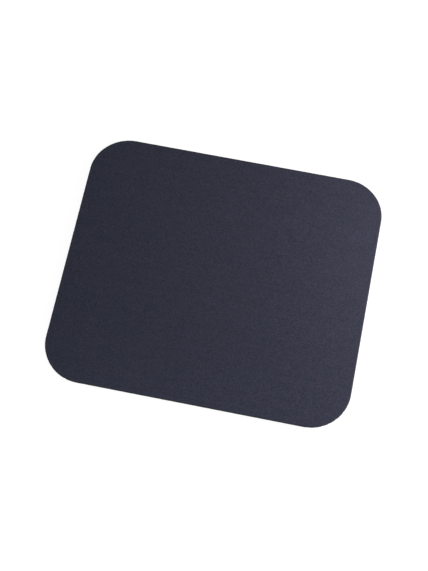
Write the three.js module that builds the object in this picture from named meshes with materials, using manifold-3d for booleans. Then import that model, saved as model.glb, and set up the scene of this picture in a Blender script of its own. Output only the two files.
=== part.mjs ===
// A cloth mouse pad: knitted cloth, bond film and foam rubber, laminated into one sheet and
// then cut out together by a die. Millimetres, +Z up, origin at the middle of the underside.

import * as THREE from "three";
import { mergeVertices } from "three/addons/utils/BufferGeometryUtils.js";
import Module from "manifold-3d";

const wasm = await Module();
wasm.setup();

// The outline that the die cuts
const padLength = 250; // along X
const padWidth = 220; // along Y
const cornerRadius = 33;
const cornerSteps = 20; // straight steps in each corner

// The layers, from the desk up
const foamThickness = 2.4;
const filmThickness = 0.1;
const clothThickness = 0.5;

// What the die leaves at the cut edge
const clothEdgeRoll = 0.4; // the cloth's upper edge is pressed round to this radius
const clothEdgeSteps = 4;
const filmSetback = 0.1; // the film springs back this far from the edge
const foamDish = 0.25; // the foam's wall is hollow by this much at half its height
const foamWallSteps = 5;

// The grip tread that a roller embosses into the foam: grooves along X that swing across it
const ribPitch = 5;
const grooveMouth = 2;
const grooveDepth = 0.4;
const waveLength = 20; // along X
const waveSwing = 1.8; // to each side

// The planes where the layers meet
const foamTop = foamThickness;
const filmTop = foamTop + filmThickness;
const clothTop = filmTop + clothThickness;

// The cut outline, drawn in from the edge by an inset: four arcs joined by straight sides.
function outline(inset) {
  const centreX = padLength / 2 - cornerRadius;
  const centreY = padWidth / 2 - cornerRadius;
  const radius = cornerRadius - inset;
  const quarter = Math.PI / 2;
  const shape = new THREE.Shape();
  shape.absarc(centreX, centreY, radius, 0, quarter);
  shape.absarc(-centreX, centreY, radius, quarter, 2 * quarter);
  shape.absarc(-centreX, -centreY, radius, 2 * quarter, 3 * quarter);
  shape.absarc(centreX, -centreY, radius, 3 * quarter, 4 * quarter);
  return shape.getPoints(cornerSteps / 2);
}

// A closed solid whose wall runs through rings of the outline, listed from the lowest up.
function ringedSolid(rings) {
  const sections = rings.map((ring) => outline(ring.inset));
  const count = sections[0].length;
  const positions = [];
  sections.forEach((section, level) => {
    section.forEach((point) => positions.push(point.x, point.y, rings[level].height));
  });

  const triangles = [];
  for (let level = 0; level + 1 < rings.length; level += 1) {
    for (let i = 0; i < count; i += 1) {
      const here = level * count + i;
      const next = level * count + ((i + 1) % count);
      triangles.push(here, next, next + count);
      triangles.push(here, next + count, here + count);
    }
  }

  const lid = THREE.ShapeUtils.triangulateShape(sections.at(-1), []);
  const top = (rings.length - 1) * count;
  lid.forEach(([a, b, c]) => {
    triangles.push(top + a, top + b, top + c);
    triangles.push(a, c, b);
  });

  const geometry = new THREE.BufferGeometry();
  geometry.setAttribute("position", new THREE.Float32BufferAttribute(positions, 3));
  geometry.setIndex(triangles);
  geometry.computeVertexNormals();
  return geometry;
}

// A closed geometry as a solid that can be cut.
function toSolid(geometry) {
  geometry.deleteAttribute("normal");
  geometry.deleteAttribute("uv");
  const merged = mergeVertices(geometry);
  const mesh = new wasm.Mesh({
    numProp: 3,
    vertProperties: merged.attributes.position.array,
    triVerts: new Uint32Array(merged.index.array),
  });
  return new wasm.Manifold(mesh);
}

// A cut solid as a geometry again.
function toGeometry(solid) {
  const mesh = solid.getMesh();
  const geometry = new THREE.BufferGeometry();
  geometry.setAttribute("position", new THREE.BufferAttribute(mesh.vertProperties, 3));
  geometry.setIndex(new THREE.BufferAttribute(mesh.triVerts, 1));
  geometry.computeVertexNormals();
  return geometry;
}

// The cloth: its lower edge is cut square, and the die rolls its upper edge over.
function clothTopGeometry() {
  const roll = Math.min(clothEdgeRoll, clothThickness);
  const rings = [{ inset: 0, height: filmTop }];
  for (let step = 0; step <= clothEdgeSteps; step += 1) {
    const angle = ((Math.PI / 2) * step) / clothEdgeSteps;
    rings.push({
      inset: roll * (1 - Math.cos(angle)),
      height: clothTop - roll * (1 - Math.sin(angle)),
    });
  }
  return ringedSolid(rings);
}

// The bond film: a flat skin between the cloth and the foam.
function adhesiveFilmGeometry() {
  return ringedSolid([
    { inset: filmSetback, height: foamTop },
    { inset: filmSetback, height: filmTop },
  ]);
}

// The foam as it leaves the roller: a sheet larger than the pad all round, with V grooves below.
// The grooves run along X, and every other cross section is pushed aside, so that they zigzag.
function embossedSheet() {
  const ribs = Math.ceil((padWidth / 2 + waveSwing) / ribPitch) + 1;
  const half = ribs * ribPitch;
  const section = new THREE.Shape();
  section.moveTo(-half, 0);
  for (let rib = -ribs; rib < ribs; rib += 1) {
    const groove = (rib + 0.5) * ribPitch;
    section.lineTo(groove - grooveMouth / 2, 0);
    section.lineTo(groove, grooveDepth);
    section.lineTo(groove + grooveMouth / 2, 0);
  }
  section.lineTo(half, 0);
  section.lineTo(half, 2 * foamTop);
  section.lineTo(-half, 2 * foamTop);

  const halfWave = waveLength / 2;
  const steps = 2 * Math.ceil(padLength / waveLength) + 1;
  const depth = steps * halfWave;
  const sheet = new THREE.ExtrudeGeometry(section, { depth, steps, bevelEnabled: false });
  const across = new THREE.Vector3(0, 1, 0);
  const up = new THREE.Vector3(0, 0, 1);
  const along = new THREE.Vector3(1, 0, 0);
  sheet.applyMatrix4(new THREE.Matrix4().makeBasis(across, up, along));
  sheet.translate(-depth / 2, 0, 0);

  const position = sheet.attributes.position;
  for (let i = 0; i < position.count; i += 1) {
    const turn = (2 * Math.PI * position.getX(i)) / waveLength;
    position.setY(i, position.getY(i) + waveSwing * Math.sin(turn));
  }
  return sheet;
}

// The foam as the die cuts it, right through the tread: its wall is hollow between its two faces.
function foamBaseGeometry() {
  const rings = [{ inset: 0, height: -grooveDepth }];
  for (let step = 0; step <= foamWallSteps; step += 1) {
    const rise = step / foamWallSteps;
    rings.push({
      inset: foamDish * Math.sin(Math.PI * rise),
      height: foamTop * rise,
    });
  }
  const cutter = toSolid(ringedSolid(rings));
  return toGeometry(toSolid(embossedSheet()).intersect(cutter));
}

const cloth = new THREE.MeshStandardMaterial({ color: "#33353f", roughness: 0.95, metalness: 0 });
const film = new THREE.MeshStandardMaterial({ color: "#55565c", roughness: 0.5, metalness: 0 });
const foam = new THREE.MeshStandardMaterial({ color: "#1b1b1d", roughness: 0.85, metalness: 0 });

const pad = new THREE.Group();

function addLayer(name, geometry, material) {
  const layer = new THREE.Mesh(geometry, material);
  layer.name = name;
  pad.add(layer);
}

addLayer("foam_base", foamBaseGeometry(), foam);
addLayer("adhesive_film", adhesiveFilmGeometry(), film);
addLayer("cloth_top", clothTopGeometry(), cloth);

export default pad;
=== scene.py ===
# %% [markdown]
# # A cloth mouse pad
# The pad is a laminate: a knitted cloth, a film of hot glue and a sheet of foam rubber, all cut out
# together by one stroke of a die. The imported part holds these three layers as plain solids. This
# lesson dresses them: each layer becomes a surface worked out with numpy, in metres and in the frame
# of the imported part, and then gets a finish made of shader nodes.

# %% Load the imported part
import math

import bpy
import numpy as np
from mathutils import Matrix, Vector


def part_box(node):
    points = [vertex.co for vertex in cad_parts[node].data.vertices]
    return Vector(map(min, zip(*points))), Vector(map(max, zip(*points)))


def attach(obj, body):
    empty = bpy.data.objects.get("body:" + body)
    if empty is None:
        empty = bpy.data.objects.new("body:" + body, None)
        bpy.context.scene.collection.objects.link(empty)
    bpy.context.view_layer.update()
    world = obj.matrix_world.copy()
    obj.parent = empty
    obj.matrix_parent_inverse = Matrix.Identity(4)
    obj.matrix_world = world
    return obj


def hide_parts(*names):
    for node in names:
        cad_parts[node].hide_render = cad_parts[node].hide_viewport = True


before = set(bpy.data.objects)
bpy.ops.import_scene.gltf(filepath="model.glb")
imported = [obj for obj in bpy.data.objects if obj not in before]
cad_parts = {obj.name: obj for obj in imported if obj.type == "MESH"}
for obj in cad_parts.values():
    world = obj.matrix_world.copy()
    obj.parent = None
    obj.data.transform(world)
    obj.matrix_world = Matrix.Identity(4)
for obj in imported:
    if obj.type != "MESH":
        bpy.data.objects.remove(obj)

MM = 0.001
scene = bpy.context.scene
scene.view_settings.view_transform = "Standard"
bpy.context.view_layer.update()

# %% [markdown]
# ## The camera
# The pad is seen from the front, a little from its right, from well above and through a long lens.
# A camera can be set by eye, but a flat pad of known size gives it away: the four sides and the four
# round corners of its outline fix the direction, the distance and the lens together. The camera
# stands level, so an azimuth and an elevation are enough to say which way it looks.

# %% Camera
LENS_MM = 86.92
SENSOR_MM = 36.0
CAMERA_AZIMUTH = math.radians(11.47)
CAMERA_ELEVATION = math.radians(68.35)
CAMERA_DISTANCE = 1132.8 * MM
CAMERA_AIM = Vector((-0.7, -6.6, 1.5)) * MM


def direction_to_viewer(azimuth, elevation):
    """The unit vector from the pad to a viewer: at azimuth 0 the viewer stands in front, at -Y."""
    level = math.cos(elevation)
    return Vector((math.sin(azimuth) * level, -math.cos(azimuth) * level, math.sin(elevation)))


to_camera = direction_to_viewer(CAMERA_AZIMUTH, CAMERA_ELEVATION)
camera_data = bpy.data.cameras.new("camera")
camera_data.lens = LENS_MM
camera_data.sensor_width = SENSOR_MM
camera = bpy.data.objects.new("camera", camera_data)
camera.location = CAMERA_AIM + to_camera * CAMERA_DISTANCE
camera.rotation_euler = (-to_camera).to_track_quat("-Z", "Y").to_euler()
scene.collection.objects.link(camera)
scene.camera = camera
print("camera at", [round(c, 3) for c in camera.location], "m")

# %% [markdown]
# ## Shader maths as Python
# A finish is a small program of nodes. Written node by node it is hard to read, so one class wraps a
# socket and overloads the operators: an expression such as `1 - mask * 0.5` then adds the Math nodes
# that work it out. Every other node comes from one method, which takes the kind of node, its settings
# and what goes into its sockets.

# %% A socket that does sums, and the tree that it grows in
class Value:
    """An output socket. Sums with other values or with numbers add Math nodes to its tree."""

    def __init__(self, tree, socket):
        self.tree = tree
        self.socket = socket

    def also(self, name):
        """Another output of the same node."""
        return Value(self.tree, self.socket.node.outputs[name])

    def math(self, operation, other=0.0):
        """A Math node that works on this value and, where its operation takes two, on another."""
        return self.tree.node("Math", {"operation": operation}, {0: self, 1: other})

    def __add__(self, other):
        return self.math("ADD", other)

    def __sub__(self, other):
        return self.math("SUBTRACT", other)

    def __rsub__(self, number):
        return self.tree.node("Math", {"operation": "SUBTRACT"}, {0: number, 1: self})

    def __mul__(self, other):
        return self.math("MULTIPLY", other)

    __radd__ = __add__
    __rmul__ = __mul__


class Tree:
    """A node tree, empty at first."""

    def __init__(self, owner):
        owner.use_nodes = True
        self.node_tree = owner.node_tree
        self.node_tree.nodes.clear()

    def node(self, kind, settings=None, sockets=None, output=0):
        """Adds a node, applies its settings, fills its sockets and gives one of its outputs."""
        made = self.node_tree.nodes.new("ShaderNode" + kind)
        for name, setting in (settings or {}).items():
            setattr(made, name, setting)
        for name, value in (sockets or {}).items():
            if isinstance(value, Value):
                self.node_tree.links.new(value.socket, made.inputs[name])
            else:
                made.inputs[name].default_value = value
        return Value(self, made.outputs[output]) if made.outputs else None


print("shader helpers ready")

# %% [markdown]
# ## Light
# An even surround, a shade cooler than white, lights the pad from all sides. One soft lamp, a shade
# warmer, stands low at its right, so the cloth brightens and warms towards that side. A white card in
# front throws a little light back at the near edge. A card that is out of the picture can be a lamp
# too, which is quicker than light that bounces off a real one. The surround is a world of a single
# strength. To rays that look straight at it, or see it in a gloss or through glass, it shows as a
# white backdrop.

# %% World
WHITE = (1.0, 1.0, 1.0, 1.0)
BACKDROP_STRENGTH = 0.99
SURROUND_STRENGTH = 0.43
SURROUND_COLOUR = (0.93, 1.0, 1.02, 1.0)


def seen_directly(tree):
    """1 for rays from the camera, from a gloss or through glass, and 0 for rays that carry light."""
    camera_ray = tree.node("LightPath", output="Is Camera Ray")
    gloss_ray = camera_ray.also("Is Glossy Ray")
    glass_ray = camera_ray.also("Is Transmission Ray")
    return camera_ray.math("MAXIMUM", gloss_ray).math("MAXIMUM", glass_ray)


scene.world = bpy.data.worlds.new("surround")
surround = Tree(scene.world)
lighting = surround.node("Background", sockets={
    "Color": SURROUND_COLOUR,
    "Strength": SURROUND_STRENGTH,
})
backdrop = surround.node("Background", sockets={"Color": WHITE, "Strength": BACKDROP_STRENGTH})
both = surround.node("MixShader", sockets={0: seen_directly(surround), 1: lighting, 2: backdrop})
surround.node("OutputWorld", sockets={"Surface": both})
print("surround lights with", SURROUND_STRENGTH, "and shows as", BACKDROP_STRENGTH)

# %% Lamps
LAMP_PLACE = Vector((441, 89, 120)) * MM
LAMP_AIM = Vector((0, 0, 0))
LAMP_SIZE = (200 * MM, 200 * MM)
LAMP_COLOUR = (1.0, 0.84, 0.84)
LAMP_WATTS = 4.7
CARD_PLACE = Vector((0, -170, 35)) * MM
CARD_AIM = Vector((0, -80, 0)) * MM
CARD_SIZE = (300 * MM, 56 * MM)
CARD_COLOUR = (1.0, 1.0, 1.0)
CARD_WATTS = 0.05


def area_lamp(name, place, aim, size, colour, watts):
    """A flat lamp, hidden from the camera, that looks from its place to its aim."""
    lamp_data = bpy.data.lights.new(name, "AREA")
    lamp_data.shape = "RECTANGLE"
    lamp_data.size = size[0]
    lamp_data.size_y = size[1]
    lamp_data.color = colour
    lamp_data.energy = watts
    lamp = bpy.data.objects.new(name, lamp_data)
    lamp.location = place
    lamp.rotation_euler = (aim - place).to_track_quat("-Z", "Y").to_euler()
    lamp.visible_camera = False
    scene.collection.objects.link(lamp)
    print(name, "gives", watts, "W from", round((place - aim).length / MM), "mm away")


area_lamp("side_lamp", LAMP_PLACE, LAMP_AIM, LAMP_SIZE, LAMP_COLOUR, LAMP_WATTS)
area_lamp("front_card", CARD_PLACE, CARD_AIM, CARD_SIZE, CARD_COLOUR, CARD_WATTS)

# %% [markdown]
# ## The floor
# The floor is a plain pale sheet just under the pad. More light would turn it white, but it would
# bleach the pad as well. So only a part of what the camera sees of it is light that it scatters, which
# keeps the pad's soft shadow, and a glow of its own makes up the rest. Far from the lamp it is then as
# white as the backdrop, and no horizon shows. To the light that bounces about, it is an ordinary pale
# surface.

# %% Floor
FLOOR_HALF = 40.0
FLOOR_DROP = 0.02 * MM
FLOOR_ALBEDO = 0.8
FLOOR_SCATTER = 0.2
FLOOR_GLOW = BACKDROP_STRENGTH - FLOOR_SCATTER * SURROUND_STRENGTH * np.array(SURROUND_COLOUR[:3])


def grey(level):
    """A colour with the same red, green and blue."""
    return level, level, level, 1.0


floor_material = bpy.data.materials.new("pale_floor")
pale = Tree(floor_material)
scattered = pale.node("BsdfDiffuse", sockets={"Color": grey(FLOOR_SCATTER)})
glow = pale.node("Emission", sockets={"Color": (*FLOOR_GLOW, 1.0)})
shown = pale.node("AddShader", sockets={0: scattered, 1: glow})
bouncing = pale.node("BsdfDiffuse", sockets={"Color": grey(FLOOR_ALBEDO)})
either = pale.node("MixShader", sockets={0: seen_directly(pale), 1: bouncing, 2: shown})
pale.node("OutputMaterial", sockets={"Surface": either})

floor_corners = np.array([[-1, -1], [1, -1], [1, 1], [-1, 1]]) * FLOOR_HALF
floor_points = np.column_stack([floor_corners, np.full(4, -FLOOR_DROP)])
floor_mesh = bpy.data.meshes.new("floor")
floor_mesh.from_pydata(floor_points.tolist(), [], [[0, 1, 2, 3]])
floor_mesh.materials.append(floor_material)
floor = bpy.data.objects.new("floor", floor_mesh)
scene.collection.objects.link(floor)
print("floor", 2 * FLOOR_HALF, "m across")

# %% [markdown]
# ## Sizes
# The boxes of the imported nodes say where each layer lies, so no height is written down twice. Only
# the corner radius can't be read from a box, so it is a value of its own.

# %% Sizes from the frame
CORNER_RADIUS = 33 * MM

cloth_low, cloth_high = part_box("cloth_top")
film_low, film_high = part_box("adhesive_film")
foam_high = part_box("foam_base")[1]
PAD_LENGTH = cloth_high.x - cloth_low.x
PAD_WIDTH = cloth_high.y - cloth_low.y
layer_tops = [round(high.z / MM, 2) for high in (foam_high, film_high, cloth_high)]
print("pad in mm:", round(PAD_LENGTH / MM, 2), "x", round(PAD_WIDTH / MM, 2))
print("foam, film and cloth end at", layer_tops, "mm")

# %% [markdown]
# ## The line that the die cuts
# A rectangle with round corners can be drawn as four arcs and four lines. It is handier to see it as
# a smaller rectangle, the core, that has grown outwards by the corner radius. Along an arc the
# outward direction turns while the core point rests, and along a side the core point slides while
# the direction rests. Both are then plain functions of the distance along the line, and a point that
# lies further in is the same sum with a smaller radius.

# %% The cut line as a function of distance
ARC = CORNER_RADIUS * math.pi / 2
CORE_X = PAD_LENGTH / 2 - CORNER_RADIUS
CORE_Y = PAD_WIDTH / 2 - CORNER_RADIUS


class CutLine:
    """Points spaced evenly along the cut line, anticlockwise, from the middle of the far right corner.

    Distance runs through arc, side, arc, side and so on. The direction's angle gains a quarter turn
    on each arc, and the core point goes to the next corner of the core on each side. Interpolating
    between those breaks gives both at any distance.
    """

    def __init__(self, spacing):
        along_x = ARC + 2 * CORE_X
        along_y = ARC + 2 * CORE_Y
        self.steps_x = round(along_x / spacing)
        self.steps_y = round(along_y / spacing)
        steps = [self.steps_x, self.steps_y, self.steps_x, self.steps_y]
        lengths = np.repeat([along_x, along_y, along_x, along_y], steps) / np.repeat(steps, steps)
        self.distance = np.cumsum(lengths) - lengths
        self.length = lengths.sum()

        breaks = np.cumsum([0, ARC, 2 * CORE_X, ARC, 2 * CORE_Y, ARC, 2 * CORE_X, ARC, 2 * CORE_Y])
        quarters = [0, 1, 1, 2, 2, 3, 3, 4, 4]
        sign_x = [1, 1, -1, -1, -1, -1, 1, 1, 1]
        sign_y = [1, 1, 1, 1, -1, -1, -1, -1, 1]
        place = (self.distance + ARC / 2) % self.length
        angle = np.interp(place, breaks, quarters) * math.pi / 2
        self.out = np.column_stack([np.cos(angle), np.sin(angle)])
        self.core = np.column_stack([
            np.interp(place, breaks, sign_x) * CORE_X,
            np.interp(place, breaks, sign_y) * CORE_Y,
        ])
        self.count = len(place)

    def carry(self, inset, height):
        """Carries a profile round the line. Inset and height are (rows, 1) or (rows, points) arrays.

        Point (i, j) is core point j + direction j * (corner radius - inset i), at height i.
        """
        flat = self.core + self.out * (CORNER_RADIUS - inset)[..., None]
        return np.dstack([flat, np.broadcast_to(height, flat.shape[:2])])


print("the die's line is", round(CutLine(MM).length / MM, 1), "mm long")

# %% [markdown]
# ## From arrays to meshes
# A surface is an array of points and an array of faces that names them by number. Rows that close on
# themselves become bands, and an open grid fills what a band leaves open. Seen from outside, the
# corners of every face run anticlockwise, and then the volume that the faces enclose comes out above
# zero: each piece prints it as a test.

# %% Faces from point numbers
def number_points(points):
    """The numbers of an array of points, in the same rows and columns."""
    return np.arange(points[..., 0].size).reshape(points.shape[:-1])


def band_faces(numbers):
    """Faces between each closed row of point numbers and the next row, in one band or many."""
    after = np.roll(numbers, -1, axis=-1)
    corners = [numbers[..., :-1, :], after[..., :-1, :], after[..., 1:, :], numbers[..., 1:, :]]
    return np.stack(corners, axis=-1).reshape(-1, 4)


def grid_faces(numbers):
    """Faces of an open grid of point numbers, which face up if columns run along X and rows along Y."""
    corners = [numbers[:-1, :-1], numbers[:-1, 1:], numbers[1:, 1:], numbers[1:, :-1]]
    return np.stack(corners, axis=-1).reshape(-1, 4)


print("face helpers ready")

# %% Objects from points and faces
SHARP_ANGLE = math.radians(35)


def new_object(name, points, *faces):
    """A mesh object from an array of points and arrays of faces."""
    mesh = bpy.data.meshes.new(name)
    mesh.from_pydata(points.reshape(-1, 3).tolist(), [], [f for part in faces for f in part.tolist()])
    made = bpy.data.objects.new(name, mesh)
    scene.collection.objects.link(made)
    return made


def slab(name, rows):
    """An object from closed rows of points, lowest first: bands, and a flat face at either end."""
    numbers = number_points(rows)
    return new_object(name, rows, band_faces(numbers), numbers[:1, ::-1], numbers[-1:])


def enclosed_volume(mesh):
    """The sum over all triangles of a . (b x c) / 6, which is the volume if the faces point outwards."""
    mesh.calc_loop_triangles()
    numbers = np.empty(len(mesh.loop_triangles) * 3, np.int32)
    mesh.loop_triangles.foreach_get("vertices", numbers)
    points = np.empty(len(mesh.vertices) * 3, np.float32)
    mesh.vertices.foreach_get("co", points)
    a, b, c = points.reshape(-1, 3)[numbers].reshape(-1, 3, 3).transpose(1, 0, 2).astype(float)
    return (a * np.cross(b, c)).sum() / 6


def smooth(piece):
    """Shades a piece smooth, but for edges that turn more than the sharp angle, and measures it."""
    mesh = piece.data
    mesh.polygons.foreach_set("use_smooth", np.ones(len(mesh.polygons), bool))
    mesh.set_sharp_from_angle(angle=SHARP_ANGLE)
    volume = enclosed_volume(mesh) / MM ** 3
    print(piece.name, "has", len(mesh.loop_triangles), "triangles round", round(volume, 1), "mm3")


print("edges stay sharp from", round(math.degrees(SHARP_ANGLE)), "degrees")

# %% [markdown]
# ## The cloth
# The mouse runs on a thin knit. The die presses its upper edge round and cuts its lower edge square,
# and the cut wanders by a few hundredths of a millimetre from yarn to yarn. A profile carried round the
# cut line gives the edge. Its wander could be pushed in by hand, but a sum of many sines of random
# length and phase gives the same soft unevenness in one line.

# %% Edge of the cloth
CLOTH_SEED = 11
CLOTH_SPACING = 1.1 * MM
CLOTH_ROLL = 0.4 * MM
CLOTH_RIM = 2.0 * MM
ROLL_STEPS = 8
CUT_WANDER = 0.03 * MM
WANDER_LENGTHS = (3 * MM, 12 * MM)
EDGE_WAVES = 40


def soft_noise(rng, waves, shortest, longest, *coordinates):
    """A sum of sines of random direction, length and phase, scaled to lie mostly between -1 and 1."""
    angle = rng.uniform(0, 2 * math.pi, waves)
    frequency = 2 * math.pi / rng.uniform(shortest, longest, waves)
    phase = rng.uniform(0, 2 * math.pi, waves)
    directions = [np.cos(angle), np.sin(angle)][:len(coordinates)]
    turn = sum(np.multiply.outer(c, d * frequency) for c, d in zip(coordinates, directions))
    return np.sin(turn + phase).sum(axis=-1) / math.sqrt(waves)


cloth_rng = np.random.default_rng(CLOTH_SEED)
cloth_line = CutLine(CLOTH_SPACING)

# The profile goes up the square cut, round the roll, and in over the top to the rim. On the roll, the
# inset is the radius * (1 - cosine of the turn), and the height the top - the radius * (1 - sine).
turn = np.linspace(0, math.pi / 2, ROLL_STEPS + 1)
roll_inset = CLOTH_ROLL * (1 - np.cos(turn))
roll_height = cloth_high.z - CLOTH_ROLL * (1 - np.sin(turn))
cloth_inset = np.concatenate([[0], roll_inset, [CLOTH_RIM]])[:, None]
cloth_height = np.concatenate([[cloth_low.z], roll_height, [cloth_high.z]])[:, None]

# The wander is whole at the cut and fades to nothing at the rim.
wander = CUT_WANDER * (1 + soft_noise(cloth_rng, EDGE_WAVES, *WANDER_LENGTHS, cloth_line.distance))
edge_rows = cloth_line.carry(cloth_inset + wander * (1 - cloth_inset / CLOTH_RIM), cloth_height)
edge_numbers = number_points(edge_rows)
print("the cloth's edge has", len(edge_rows), "rows of", cloth_line.count, "points")

# %% [markdown]
# A disc of faces would meet in a pole at the middle, so the top is filled the way a sail is drawn
# between its four edges: the blend of near and far edge, plus the blend of left and right edge, less
# the blend of the four corners. A nudge to every inner point keeps the rows of faces from lying along
# the rows of stitches, and the laminate also has a swell of about a hundredth of a millimetre.

# %% Top of the cloth
NUDGE = 0.25
SWELL = 0.012 * MM
SWELL_WAVES = 12
SWELL_LENGTHS = (12 * MM, 40 * MM)


def fill_ring(ring, line, first, rng):
    """Fills a ring of points with a grid, and gives its new inner points and the grid's point numbers.

    Row v and column u hold near(u) blended to far(u) by v, plus left(v) blended to right(v) by u, less
    the four corners blended by u and v, plus a random share of the steps to the next column and row.
    The edge of the grid is the ring itself, which starts at the far right corner and goes to the far
    left, near left and near right corners.
    """
    nx, ny = line.steps_x, line.steps_y
    numbers = np.empty((ny + 1, nx + 1), int)
    round_once = np.append(np.arange(line.count), 0)
    numbers[ny, ::-1] = round_once[:nx + 1]
    numbers[::-1, 0] = round_once[nx:nx + ny + 1]
    numbers[0, :] = round_once[nx + ny:2 * nx + ny + 1]
    numbers[:, nx] = round_once[2 * nx + ny:]

    u = np.linspace(0, 1, nx + 1)[None, :, None]
    v = np.linspace(0, 1, ny + 1)[:, None, None]
    near, far = ring[numbers[0]][None], ring[numbers[ny]][None]
    left, right = ring[numbers[:, 0]][:, None], ring[numbers[:, nx]][:, None]
    edges = (1 - v) * near + v * far + (1 - u) * left + u * right
    near_corners = (1 - u) * near[:, :1] + u * near[:, -1:]
    far_corners = (1 - u) * far[:, :1] + u * far[:, -1:]
    grid = edges - (1 - v) * near_corners - v * far_corners
    shares = rng.uniform(-NUDGE, NUDGE, (2, ny + 1, nx + 1, 1))
    grid += shares[0] * np.gradient(grid, axis=1) + shares[1] * np.gradient(grid, axis=0)

    numbers += first
    inner = first + line.count + np.arange((ny - 1) * (nx - 1))
    numbers[1:-1, 1:-1] = inner.reshape(ny - 1, nx - 1)
    return grid[1:-1, 1:-1].reshape(-1, 3), numbers


top_points, top_numbers = fill_ring(edge_rows[-1], cloth_line, edge_numbers[-1, 0], cloth_rng)
swell = soft_noise(cloth_rng, SWELL_WAVES, *SWELL_LENGTHS, top_points[:, 0], top_points[:, 1])
top_points[:, 2] += SWELL * (swell - 1)
cloth_points = np.concatenate([edge_rows.reshape(-1, 3), top_points])
cloth = new_object("knitted_cloth", cloth_points, band_faces(edge_numbers), grid_faces(top_numbers),
                   edge_numbers[:1, ::-1])
print("the cloth's top has", len(top_points), "points inside its rim")

# %% [markdown]
# The knit will have to follow the cloth over its rolled edge. So each point also keeps the place that
# it had while the cloth still lay flat, and how far in from the cut that was. These three numbers are
# stored with the mesh as an attribute, which the finish reads later. The same flat places, over the
# width of a square, also make a map: a copy of the pad that goes elsewhere can carry its finish as
# pictures, and the map says where on a picture each face lies. The hidden underside gets little room.

# %% Laid places and the flat map
MAP_WIDTH = 256 * MM
MAP_MARGIN = 1 * MM
UNDERSIDE_SCALE = 0.14


def laid_places():
    """The flat X and Y of each point of the cloth, and its distance in from the cut.

    That distance is the rim's width less the length of the profile from the rim to the point.
    """
    runs = np.hypot(np.diff(cloth_inset[:, 0]), np.diff(cloth_height[:, 0]))
    run_to_rim = np.append(np.cumsum(runs[::-1])[::-1], 0)
    laid_inset = (CLOTH_RIM - run_to_rim)[:, None]
    laid_edge = cloth_line.carry(laid_inset, laid_inset)
    laid_top = np.column_stack([top_points[:, :2], np.full(len(top_points), CLOTH_RIM)])
    return np.concatenate([laid_edge.reshape(-1, 3), laid_top])


def keep_laid_places(piece, places):
    """Stores the laid places of a piece's points with its mesh."""
    kept = piece.data.attributes.new("laid_place", "FLOAT_VECTOR", "POINT")
    kept.data.foreach_set("vector", places.astype(np.float32).ravel())


def add_flat_map(piece, places):
    """Gives a piece a map: its laid X and Y over the map's width, with its last face small above."""
    mesh = piece.data
    numbers = np.empty(len(mesh.loops), np.int32)
    mesh.loops.foreach_get("vertex_index", numbers)
    flat = places[numbers, :2] + [MAP_WIDTH / 2, PAD_WIDTH / 2 + MAP_MARGIN]
    first = mesh.polygons[-1].loop_start
    small = places[numbers[first:], :2] * UNDERSIDE_SCALE
    above = PAD_WIDTH + 2 * MAP_MARGIN + PAD_WIDTH / 2 * UNDERSIDE_SCALE
    flat[first:] = small + [MAP_WIDTH / 2, above + MAP_MARGIN]
    flat_map = mesh.uv_layers.new(name="OFBake")
    flat_map.uv.foreach_set("vector", (flat / MAP_WIDTH).astype(np.float32).ravel())
    print("the map of", piece.name, "is", round(MAP_WIDTH / MM), "mm wide")


cloth_places = laid_places()
keep_laid_places(cloth, cloth_places)
add_flat_map(cloth, cloth_places)
smooth(cloth)

# %% [markdown]
# ## The cut ends of the yarn
# A die leaves the ends of the yarn standing out of the cut like the stubble of a mown field. Each cut
# yarn opens into a tuft of a few bent fibres. Blender's hair could grow them, but plain tubes go with
# every copy of the pad. They are too fine to place by hand, so a seeded generator draws a place on the
# cut for each tuft, and a lean, a bend and a length for each fibre. All the little tapered tubes are
# worked out in one array.

# %% Roots of the fibres
YARN_SEED = 23
TUFTS = 1300
FIBRES_PER_TUFT = 3
FIBRE_RADIUS = 0.03 * MM
FIBRE_ROOT = 0.12 * MM
FIBRE_RISE = (2 * FIBRE_RADIUS, 4 * FIBRE_RADIUS)


def fibre_roots(rng):
    """For each fibre its root inside the cut, the way out of the cut there, and the way along it.

    A tuft has a point of the cut line, a slide along the line from there, and a level. The root lies
    inside the cut by the root's depth, and each fibre adds a small rise to the level of its tuft.
    """
    pick = np.repeat(rng.integers(0, cloth_line.count, TUFTS), FIBRES_PER_TUFT)
    slide = np.repeat(rng.uniform(0, CLOTH_SPACING, TUFTS), FIBRES_PER_TUFT)
    level = np.repeat(rng.uniform(cloth_low.z, cloth_high.z - CLOTH_ROLL, TUFTS), FIBRES_PER_TUFT)
    level += rng.uniform(*FIBRE_RISE, len(level))
    no_rise = np.zeros(len(level))
    out = np.column_stack([cloth_line.out[pick], no_rise])
    along = np.column_stack([-out[:, 1], out[:, 0], no_rise])
    flat = cloth_line.core[pick] + cloth_line.out[pick] * (CORNER_RADIUS - FIBRE_ROOT)
    root = np.column_stack([flat, level]) + along * slide[:, None]
    return root, out, along


yarn_rng = np.random.default_rng(YARN_SEED)
root, out_of_cut, along_cut = fibre_roots(yarn_rng)
print(len(root), "fibres are rooted in", TUFTS, "tufts")

# %% Tubes of the fibres
FIBRE_REACH = (0.02 * MM, 0.26 * MM)
FIBRE_LEAN = 0.45
FIBRE_BEND = 0.4
FIBRE_LIFT = 0.5
FIBRE_STEPS = np.array([0.0, 0.45, 0.75, 1.0])[:, None]
FIBRE_TAPER = np.array([1.0, 1.0, 0.85, 0.4])[:, None, None]
FIBRE_SIDES = 3
UP = np.array([0.0, 0.0, 1.0])


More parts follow.
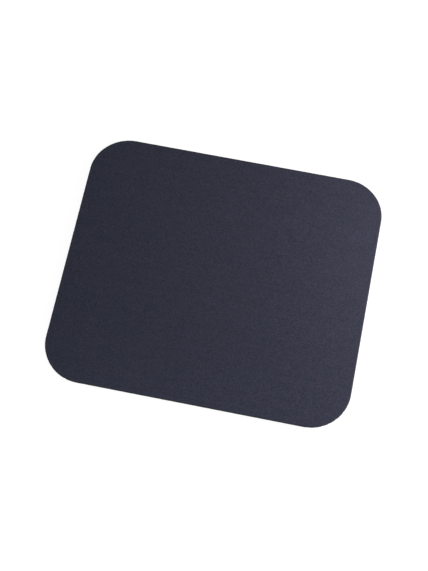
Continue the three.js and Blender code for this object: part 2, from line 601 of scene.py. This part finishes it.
def fibre_tubes(rng, root, out, along):
    """Tapered three-sided tubes that stand out of the cut, as an array of fibres, steps and sides.

    Point (f, i, k) of fibre f is its root, plus its length * (its lean * step i + its bend * step i
    squared), plus the fibre's radius * taper i * (cosine of angle k along the cut + sine of angle k
    upwards).
    """
    sway = rng.normal(0, 1, (4, len(root), 1))
    length = FIBRE_ROOT + rng.uniform(*FIBRE_REACH, (len(root), 1))
    lean = out + FIBRE_LEAN * (along * sway[0] + UP * sway[1] * FIBRE_LIFT)
    bend = FIBRE_BEND * (along * sway[2] + UP * sway[3] * FIBRE_LIFT)
    curve = lean[:, None] * FIBRE_STEPS + bend[:, None] * FIBRE_STEPS ** 2
    axis = root[:, None] + length[:, None] * curve
    angle = np.arange(FIBRE_SIDES)[:, None] * 2 * math.pi / FIBRE_SIDES
    ring = along[:, None] * np.cos(angle) + UP * np.sin(angle)
    return axis[:, :, None] + FIBRE_RADIUS * FIBRE_TAPER * ring[:, None]


fibres = fibre_tubes(yarn_rng, root, out_of_cut, along_cut)
fibre_numbers = number_points(fibres)
yarn_ends = new_object("cut_yarn_ends", fibres, band_faces(fibre_numbers), fibre_numbers[:, 0, ::-1],
                       fibre_numbers[:, -1])

laid_root = np.column_stack([root[:, :2], np.zeros(len(root))])
keep_laid_places(yarn_ends, np.repeat(laid_root, fibre_numbers[0].size, axis=0))
smooth(yarn_ends)

# %% [markdown]
# ## The glue film
# A film of hot glue joins cloth and foam over their whole faces. All that shows of it is a hairline
# in the cut, where it has sprung back a little and set in a soft bulge that isn't quite even. So it
# is a thin slab: a profile of a few points, carried round the cut line, between two flat faces.

# %% Shape of the film
FILM_SEED = 5
FILM_SETBACK = 0.1 * MM
FILM_BULGE = 0.04 * MM
FILM_STEPS = 5
FILM_UNEVENNESS = 0.5
FILM_LENGTHS = (2 * MM, 9 * MM)


def film_piece():
    """The film: at each height its edge is set back, less a bulge that follows half a sine wave."""
    rng = np.random.default_rng(FILM_SEED)
    rise = np.linspace(0, 1, FILM_STEPS)[:, None]
    uneven = 1 + FILM_UNEVENNESS * soft_noise(rng, EDGE_WAVES, *FILM_LENGTHS, cloth_line.distance)
    inset = FILM_SETBACK - FILM_BULGE * np.sin(math.pi * rise) * uneven
    height = film_low.z + (film_high.z - film_low.z) * rise
    return slab("glue_film", cloth_line.carry(inset, height))


film = film_piece()
smooth(film)

# %% [markdown]
# ## The foam
# The foam rubber leaves the press as a wide sheet, with a tread of wavy grooves embossed into its
# underside, and the die then cuts through foam and tread together. The same two steps make it here.
# The sheet is a grid whose rows follow the grooves, so that every groove has a clean round section.

# %% The embossed sheet
RIB_PITCH = 5 * MM
GROOVE_MOUTH = 2 * MM
GROOVE_DEPTH = 0.4 * MM
GROOVE_ROWS = 7
WAVE_LENGTH = 20 * MM
WAVE_SWING = 1.8 * MM
STEPS_PER_WAVE = 10
SHEET_TOP = 2 * foam_high.z


def embossed_sheet():
    """The wide sheet. Its underside is a grid: row i is a line along a groove, column j a step along X.

    Y is the row's own place + the swing * the sine of X over the wave length. The height is a raised
    cosine across each groove and zero on the ribs.
    """
    ribs = math.ceil((PAD_WIDTH / 2 + WAVE_SWING) / RIB_PITCH) + 1
    across_groove = np.linspace(-0.5, 0.5, GROOVE_ROWS)
    section = np.append(across_groove * GROOVE_MOUTH, RIB_PITCH / 2)
    lift = np.append(GROOVE_DEPTH * (1 + np.cos(2 * math.pi * across_groove)) / 2, 0)
    place = ((np.arange(-ribs, ribs) + 0.5)[:, None] * RIB_PITCH + section).reshape(-1, 1)
    height = np.tile(lift, 2 * ribs).reshape(-1, 1)
    reach = math.ceil(PAD_LENGTH / 2 / WAVE_LENGTH) + 1
    x = np.linspace(-reach, reach, 2 * reach * STEPS_PER_WAVE + 1) * WAVE_LENGTH
    y = place + WAVE_SWING * np.sin(2 * math.pi * x / WAVE_LENGTH)
    tread = np.dstack([np.broadcast_to(x, y.shape), y, np.broadcast_to(height, y.shape)])

    numbers = number_points(tread)
    rim = np.concatenate([numbers[0, :-1], numbers[:-1, -1], numbers[-1, :0:-1], numbers[:0:-1, 0]])
    lid = tread.reshape(-1, 3)[rim]
    lid[:, 2] = SHEET_TOP
    lid_numbers = numbers.size + np.arange(len(rim))
    points = np.concatenate([tread.reshape(-1, 3), lid])
    walls = band_faces(np.stack([rim, lid_numbers]))
    return new_object("foam_rubber", points, grid_faces(numbers)[:, ::-1], walls, lid_numbers[None])


foam = embossed_sheet()
print("the embossed sheet has", len(foam.data.polygons), "faces")

# %% [markdown]
# The die squeezes the foam as it cuts, so the wall springs back hollow, and it opens some of the cells
# in the foam, which leave pits. A profile carried round the cut line gives the solid that lies inside
# the die. It reaches below the ribs and ends at the top of the foam.

# %% The die
DIE_SEED = 37
WALL_SPACING = 0.3 * MM
WALL_ROWS = 12
WALL_DISH = 0.25 * MM
PIT_DEPTH = 0.16 * MM
PIT_RARITY = 5


def die_solid():
    """What the die cuts: its inset is half a sine wave over the foam's height, plus random pits.

    A pit's depth is the greatest depth * a random number raised to a power, so deep pits are rare.
    """
    rng = np.random.default_rng(DIE_SEED)
    line = CutLine(WALL_SPACING)
    rise = np.linspace(0, 1, WALL_ROWS + 1)[:, None]
    pits = PIT_DEPTH * rng.random((WALL_ROWS + 1, line.count)) ** PIT_RARITY
    pits[[0, -1]] = 0
    inset = np.concatenate([np.zeros((1, line.count)), WALL_DISH * np.sin(math.pi * rise) + pits])
    height = np.concatenate([[[-GROOVE_DEPTH]], foam_high.z * rise])
    return slab("die", line.carry(inset, height))


die = die_solid()
print("the die has", len(die.data.polygons), "faces")

# %% [markdown]
# A Boolean modifier keeps what lies in both the sheet and the die, and its result is applied. The
# faces that look down still have the skin of the press, and an attribute marks them for the finish.

# %% The cut
SKIN_TILT = -0.7


def cut_out(sheet, die):
    """Keeps the part of the sheet that lies inside the die, and removes the die."""
    cut = sheet.modifiers.new("cut", "BOOLEAN")
    cut.operation = "INTERSECT"
    cut.solver = "MANIFOLD"
    cut.object = die
    whole = sheet.data
    evaluated = sheet.evaluated_get(bpy.context.evaluated_depsgraph_get())
    sheet.data = bpy.data.meshes.new_from_object(evaluated)
    sheet.data.name = sheet.name
    sheet.modifiers.clear()
    bpy.data.meshes.remove(whole)
    bpy.data.objects.remove(die)


def mark_skin(piece):
    """Stores 1 on the faces that look down, which the press shaped, and 0 on all others."""
    polygons = piece.data.polygons
    normals = np.empty(len(polygons) * 3, np.float32)
    polygons.foreach_get("normal", normals)
    skin = normals.reshape(-1, 3)[:, 2] < SKIN_TILT
    kept = piece.data.attributes.new("pressed_skin", "FLOAT", "FACE")
    kept.data.foreach_set("value", skin.astype(np.float32))
    print("pressed skin on", skin.sum(), "of", len(skin), "faces")


cut_out(foam, die)
mark_skin(foam)
smooth(foam)

# %% [markdown]
# ## Patterns for the finishes
# Every finish reads coordinates in metres, so its pattern has a real size on the pad. Pictures could
# carry the patterns, but a noise needs no picture, and it never repeats or shows a seam. It can be
# stretched by scaling the coordinates first: its grains then have a length, a width and a height.

# %% Pattern helpers
PLAIN_DETAIL = 2.0
FINE_DETAIL = 4.0


def grains(tree, point, size, detail=PLAIN_DETAIL):
    """Noise around 0.5 whose grains measure about size, in metres along X, Y and Z."""
    scale = tuple(1 / s for s in size)
    scaled = tree.node("VectorMath", {"operation": "MULTIPLY"}, {0: point, 1: scale})
    return tree.node("TexNoise", sockets={"Vector": scaled, "Scale": 1.0, "Detail": detail})


def colour_between(tree, factor, low, high):
    """A colour that goes from low to high as the factor goes from 0 to 1."""
    mix = {"data_type": "RGBA", "clamp_factor": True}
    return tree.node("Mix", mix, {0: factor, 6: (*low, 1.0), 7: (*high, 1.0)}, output=2)


def bumped(tree, height, depth):
    """The surface's normal, tilted as if height 0 to 1 stood for so many metres."""
    return tree.node("Bump", sockets={"Strength": 1.0, "Distance": depth, "Height": height})


def finish(tree, material, sockets):
    """Ends a material's tree with a surface whose sockets are filled."""
    surface = tree.node("BsdfPrincipled", sockets=sockets)
    tree.node("OutputMaterial", sockets={"Surface": surface})
    print("finish", material.name, "has", len(tree.node_tree.nodes), "nodes")


print("pattern helpers ready")

# %% [markdown]
# ## Finish of the cloth
# The cloth is a plain knit of dark slate polyester yarn. Its stitches are rows of small V shapes: on
# either side of the middle of a row, the strand slants the other way. A mesh of so many stitches would
# have millions of faces, so they are a pattern. The distance from the middle, folded by an absolute
# value, gives both halves at once. A parabola rounds each strand, a steeper curve tucks its two ends
# under, and a noise drawn out along the strand shows its filaments.

# %% Stitches
ROW_WIDTH = 0.75 * MM
STITCH_LENGTH = 0.5 * MM
STITCH_SLANT = 0.75
STITCH_GAP = 0.8
FILAMENTS_ACROSS = 7
FILAMENTS_ALONG = 1.5

cloth_material = bpy.data.materials.new("slate_knit")
knit = Tree(cloth_material)
laid_place = knit.node("Attribute", {"attribute_name": "laid_place"}, output="Vector")
along_rows = knit.node("SeparateXYZ", sockets={0: laid_place}, output="X")
row = along_rows.also("Y") * (1 / ROW_WIDTH)
from_middle = (row.math("FRACT") - 0.5).math("ABSOLUTE") * 2
stitch = along_rows * (1 / STITCH_LENGTH) + from_middle * STITCH_SLANT
across_strand = stitch.math("FRACT") * 2 - 1
along_strand = (from_middle * 2 - 1).math("ABSOLUTE")
relief = (1 - along_strand.math("POWER", 4)) * (1 - across_strand * across_strand * STITCH_GAP)
strand_place = knit.node("CombineXYZ", sockets={0: stitch * FILAMENTS_ACROSS, 1: row * FILAMENTS_ALONG})
filaments = knit.node("TexNoise", {"noise_dimensions": "2D"}, {"Vector": strand_place, "Scale": 1.0})
print("a row is", ROW_WIDTH / MM, "mm wide, and a stitch", STITCH_LENGTH / MM, "mm long")

# %% [markdown]
# No yarn is dyed or spun quite evenly, so every stitch has a tone of its own, from a white noise that
# reads its numbers, and a soft noise makes the tones drift from one stitch to the next. Rows and wider
# clouds differ a little too. The relief also paints shade into the tone: the dips between the strands
# and their tucked ends come out darker, the crests lighter. At arm's length the stitches melt together,
# and what is left is a fine grain. A painted grain would look as fine from there, but not from close by.

# %% Tones of the yarn
STITCH_MEAN = 0.59
# Weight of the painted shade in the stitch dips, and of the lighter crests.
PAINTED_RELIEF_SHADE = 0.3
FILAMENT_TONE = 0.2
STITCH_TONE = 0.3
DRIFT_TONE = 0.9
DRIFT_GRAIN = (0.9 * MM, 0.9 * MM, 5 * MM)
ROW_TONE = 0.06
CLOUD_TONE = 0.1
CLOUD_GRAIN = (9 * MM, 6 * MM, 6 * MM)

row_number = row.math("FLOOR")
stitch_numbers = knit.node("CombineXYZ", sockets={0: row_number, 1: stitch.math("FLOOR")})
by_stitch = knit.node("TexWhiteNoise", {"noise_dimensions": "2D"}, {"Vector": stitch_numbers})
by_row = knit.node("TexWhiteNoise", {"noise_dimensions": "1D"}, {"W": row_number})
drift = grains(knit, laid_place, DRIFT_GRAIN)
clouds = grains(knit, laid_place, CLOUD_GRAIN)
tone = (
    0.5
    # The relief term paints shade: darker dips between the strands, lighter crests.
    + PAINTED_RELIEF_SHADE * (relief - STITCH_MEAN)
    + FILAMENT_TONE * (filaments - 0.5)
    + STITCH_TONE * (by_stitch - 0.5)
    + DRIFT_TONE * (drift - 0.5)
    + ROW_TONE * (by_row - 0.5)
    + CLOUD_TONE * (clouds - 0.5)
)
print("relief and tone take", len(knit.node_tree.nodes), "nodes")

# %% [markdown]
# The tone, with its painted shade in the dips, picks a yarn between a darker and a lighter slate. Over a
# centimetre or so the dye itself drifts between a redder and a greener one. The relief becomes bump,
# which the die has pressed flatter along the edge, and a little sheen stands for the fluff on the yarn.

# %% Slate knit
CLOTH_COLOUR = np.array([0.0296, 0.0336, 0.0524])
TONE_SPREAD = 0.6
DYE_DRIFT = np.array([0.13, 0.0, 0.03])
DYE_GRAIN = (11 * MM, 11 * MM, 11 * MM)
YARN_ROUGHNESS = 0.96
CREST_GLOSS = 0.12
FILAMENT_HEIGHT = 0.25
STITCH_DEPTH = 0.09 * MM
PRESSED_FLAT = 0.6

dark_yarn = CLOTH_COLOUR * (1 - TONE_SPREAD)
light_yarn = CLOTH_COLOUR * (1 + TONE_SPREAD)
yarn_colour = colour_between(knit, tone, dark_yarn, light_yarn)
dye = grains(knit, laid_place, DYE_GRAIN, FINE_DETAIL)
dye_tint = colour_between(knit, dye, 1 - DYE_DRIFT, 1 + DYE_DRIFT)
pressed = (1 - along_rows.also("Z") * (1 / CLOTH_RIM)).math("POWER", 2)
knit_height = (relief + FILAMENT_HEIGHT * filaments) * (1 - PRESSED_FLAT * pressed)
finish(knit, cloth_material, {
    "Base Color": knit.node("VectorMath", {"operation": "MULTIPLY"}, {0: yarn_colour, 1: dye_tint}),
    "Roughness": YARN_ROUGHNESS - CREST_GLOSS * relief,
    "Specular IOR Level": 0.08,
    "Sheen Weight": 0.05,
    "Sheen Roughness": 0.45,
    "Sheen Tint": (0.62, 0.66, 0.8, 1.0),
    "Normal": bumped(knit, knit_height, STITCH_DEPTH),
})

# %% [markdown]
# ## Finish of the film
# Hot glue sets to a cloudy grey skin with a dull gloss. Only a hairline of it shows, so two noises are
# enough: a coarse one mixes two greys and makes the gloss uneven, and a fine one ripples the skin.

# %% Cloudy glue
FILM_DARK = (0.03, 0.03, 0.034)
FILM_LIGHT = (0.09, 0.09, 0.1)
GLUE_GRAIN = (3 * MM, 3 * MM, 1 * MM)
GLUE_CONTRAST = 2
GLUE_ROUGHNESS = 0.35
GLUE_DULLNESS = 0.3
RIPPLE_GRAIN = (0.4 * MM, 0.4 * MM, 0.1 * MM)
RIPPLE_DEPTH = 0.02 * MM

film_material = bpy.data.materials.new("cloudy_glue")
glue = Tree(film_material)
glue_place = glue.node("TexCoord", output="Object")
cloudy = grains(glue, glue_place, GLUE_GRAIN)
ripple = grains(glue, glue_place, RIPPLE_GRAIN)
finish(glue, film_material, {
    "Base Color": colour_between(glue, 0.5 + GLUE_CONTRAST * (cloudy - 0.5), FILM_DARK, FILM_LIGHT),
    "Roughness": GLUE_ROUGHNESS + GLUE_DULLNESS * cloudy,
    "Normal": bumped(glue, ripple, RIPPLE_DEPTH),
})

# %% [markdown]
# ## Finish of the foam
# Foam rubber is matt black. Where the die cut it, the cells lie open: a Voronoi texture measures how
# far a point is from the middle of its cell, so taken as a height it gives bowls with thin rims. The
# same
# distance paints shade into the colour: dark at the bottom of each bowl, lighter at its rim. Where the
# press shaped the tread there is a closed skin instead, with a faint gloss, greyed by dust along the
# ribs that touch the desk. The attribute on the faces tells the two apart.

# %% Black foam rubber
FOAM_BLACK = (0.0155, 0.016, 0.0175)
FOAM_GREY = (0.050, 0.0515, 0.056)
CELL_SIZE = 0.2 * MM
CELL_DEPTH = 0.12 * MM
# Weight of the painted shade at the bottom of each open cell.
PAINTED_PIT_SHADE = 0.9
SKIN_CELLS = 0.1
MOTTLE_GRAIN = (6 * MM, 6 * MM, 6 * MM)
MOTTLE_SHADE = 0.4
MOTTLE_ROUGHNESS = 0.1
DUST_GRAIN = (1.5 * MM, 1.5 * MM, 1.5 * MM)
DUST_SHADE = 0.4
DUST_TOP = 0.1 * MM
PLAIN_SHADE = -0.1
SKIN_ROUGHNESS = 0.75
CUT_ROUGHNESS = 0.92

foam_material = bpy.data.materials.new("black_foam_rubber")
rubber = Tree(foam_material)
foam_place = rubber.node("TexCoord", output="Object")
foam_height = rubber.node("SeparateXYZ", sockets={0: foam_place}, output="Z")
skin = rubber.node("Attribute", {"attribute_name": "pressed_skin"}, output="Fac")
open_cells = 1 - skin
dusty = skin * foam_height.math("LESS_THAN", DUST_TOP)
cell_sockets = {"Vector": foam_place, "Scale": 1 / CELL_SIZE}
cells = rubber.node("TexVoronoi", sockets=cell_sockets, output="Distance")
mottle = grains(rubber, foam_place, MOTTLE_GRAIN, FINE_DETAIL)
dust = grains(rubber, foam_place, DUST_GRAIN, FINE_DETAIL)
# Painted shade: the cell term makes each open cell dark at the bottom of its bowl, lighter at its rim.
shade = MOTTLE_SHADE * mottle + DUST_SHADE * dusty * dust + PAINTED_PIT_SHADE * open_cells * cells + PLAIN_SHADE
roughness = SKIN_ROUGHNESS + (CUT_ROUGHNESS - SKIN_ROUGHNESS) * open_cells
finish(rubber, foam_material, {
    "Base Color": colour_between(rubber, shade, FOAM_BLACK, FOAM_GREY),
    "Roughness": roughness + MOTTLE_ROUGHNESS * (mottle - 0.5),
    "Specular IOR Level": 0.2,
    "Normal": bumped(rubber, cells * (SKIN_CELLS + (1 - SKIN_CELLS) * open_cells), CELL_DEPTH),
})

# %% [markdown]
# ## The pieces, their finishes and their body
# Every new piece rides on the one body of the part and gets its finish: the cloth and its yarn ends
# share the knit, the film gets the glue and the foam the rubber. The imported layers are then hidden.

# %% Pieces, their finishes and the hidden layers
for piece, material, slot in [
    (cloth, cloth_material, "cloth"),
    (yarn_ends, cloth_material, "cloth"),
    (film, film_material, "bond_film"),
    (foam, foam_material, "foam"),
]:
    piece.data.materials.clear()
    piece.data.materials.append(material)
    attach(piece, "root")

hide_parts("cloth_top")
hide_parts("adhesive_film")
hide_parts("foam_base")
